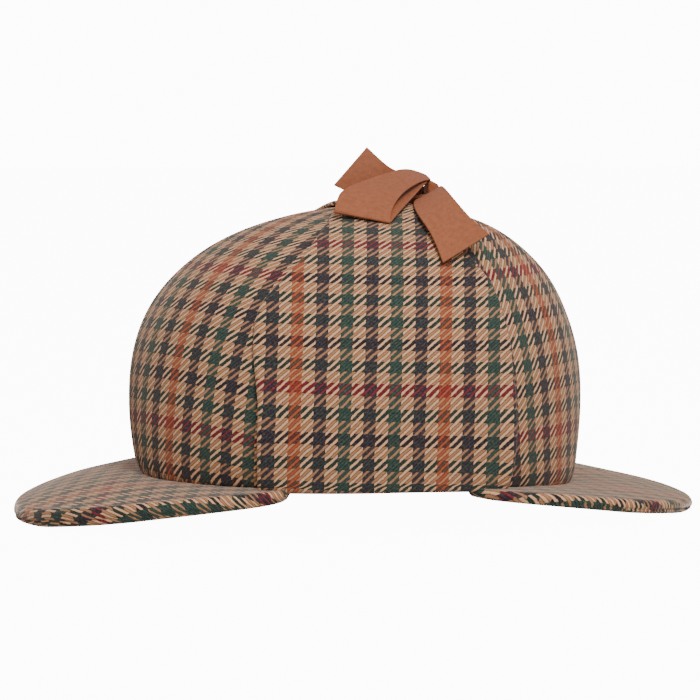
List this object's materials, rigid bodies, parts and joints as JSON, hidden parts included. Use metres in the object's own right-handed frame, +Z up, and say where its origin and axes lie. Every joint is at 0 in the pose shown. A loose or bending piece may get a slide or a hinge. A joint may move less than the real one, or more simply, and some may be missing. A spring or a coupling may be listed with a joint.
{
  "type": "deerstalker hat",
  "caption": "Deerstalker hat: domed gored cloth crown, stiffened front and back peaks, and ear flaps turned up over the crown and tied on top with a ribbon bow.",
  "frame": {"origin": "on the surface the hat stands on, under the middle of its bounding box, halfway between the tips of the two peaks", "axes": "+Z up through the crown, -Y towards the front peak, +X towards the wearer's left"},
  "size_m": [0.1816, 0.3254, 0.1724],
  "materials": {
    "crown_tweed": "woven wool check, matte",
    "peak_tweed": "woven wool check, matte",
    "flap_tweed": "woven wool check, matte",
    "grosgrain_ribbon": "ribbed ribbon, soft sheen"
  },
  "bodies": {
    "root": {"crown_left": "crown_tweed", "crown_right": "crown_tweed", "crown_front_left": "crown_tweed", "crown_front_right": "crown_tweed", "crown_back_left": "crown_tweed", "crown_back_right": "crown_tweed", "front_peak": "peak_tweed", "back_peak": "peak_tweed", "left_ear_flap": "flap_tweed", "right_ear_flap": "flap_tweed", "bow_knot": "grosgrain_ribbon", "bow_left_loop": "grosgrain_ribbon", "bow_right_loop": "grosgrain_ribbon", "bow_left_tail": "grosgrain_ribbon", "bow_right_tail": "grosgrain_ribbon", "left_ribbon_lead": "grosgrain_ribbon", "right_ribbon_lead": "grosgrain_ribbon"}
  },
  "joints": []
}
